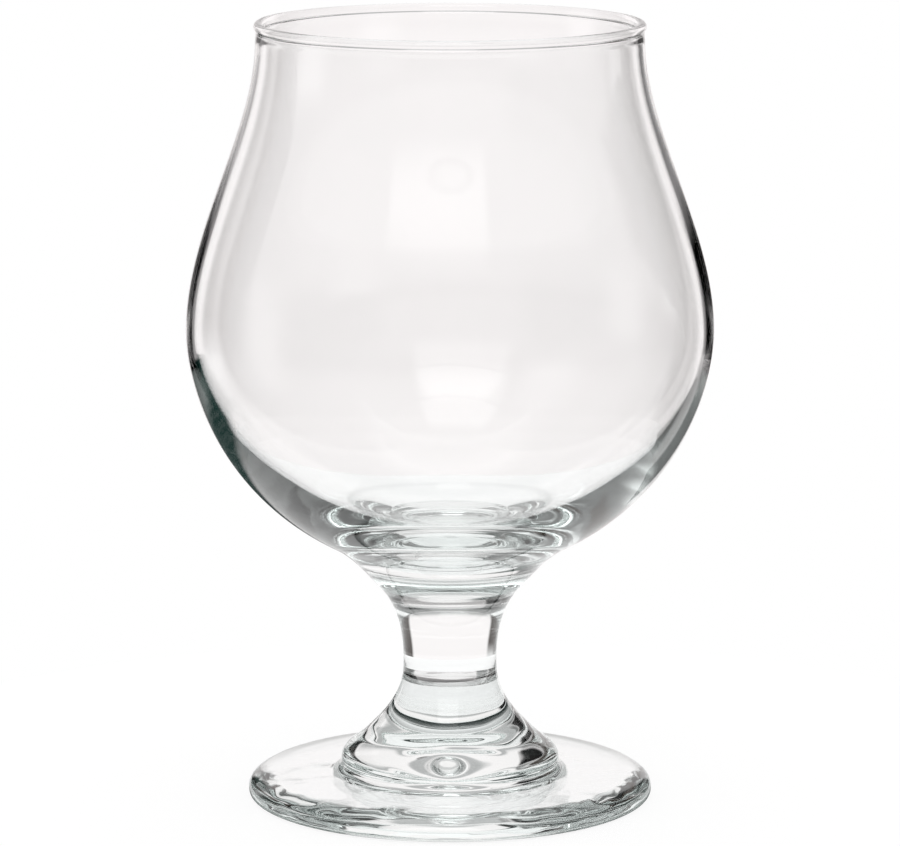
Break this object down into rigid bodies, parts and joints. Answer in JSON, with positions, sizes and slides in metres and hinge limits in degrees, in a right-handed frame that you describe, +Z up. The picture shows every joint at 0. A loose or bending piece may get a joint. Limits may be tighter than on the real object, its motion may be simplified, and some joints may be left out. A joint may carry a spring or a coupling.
{
  "type": "stemmed tulip beer glass",
  "caption": "Clear glass with a round tulip bowl, drawn-in neck, beaded rim, short waisted stem and flat round foot with a bell-shaped hub; holds a pint of beer.",
  "frame": {"origin": "centre of the foot on the plane that it rests on", "axes": "+Z up along the axis of the glass, +X and +Y anywhere around it, because it is round"},
  "size_m": [0.0988, 0.0988, 0.1468],
  "materials": {
    "bowl_glass": "clear soda-lime glass, blown and fire-polished",
    "stem_glass": "clear soda-lime glass, drawn and fire-polished",
    "foot_glass": "clear soda-lime glass, pressed and fire-polished"
  },
  "bodies": {
    "root": {"bowl": "bowl_glass", "stem": "stem_glass", "foot": "foot_glass"}
  },
  "joints": []
}
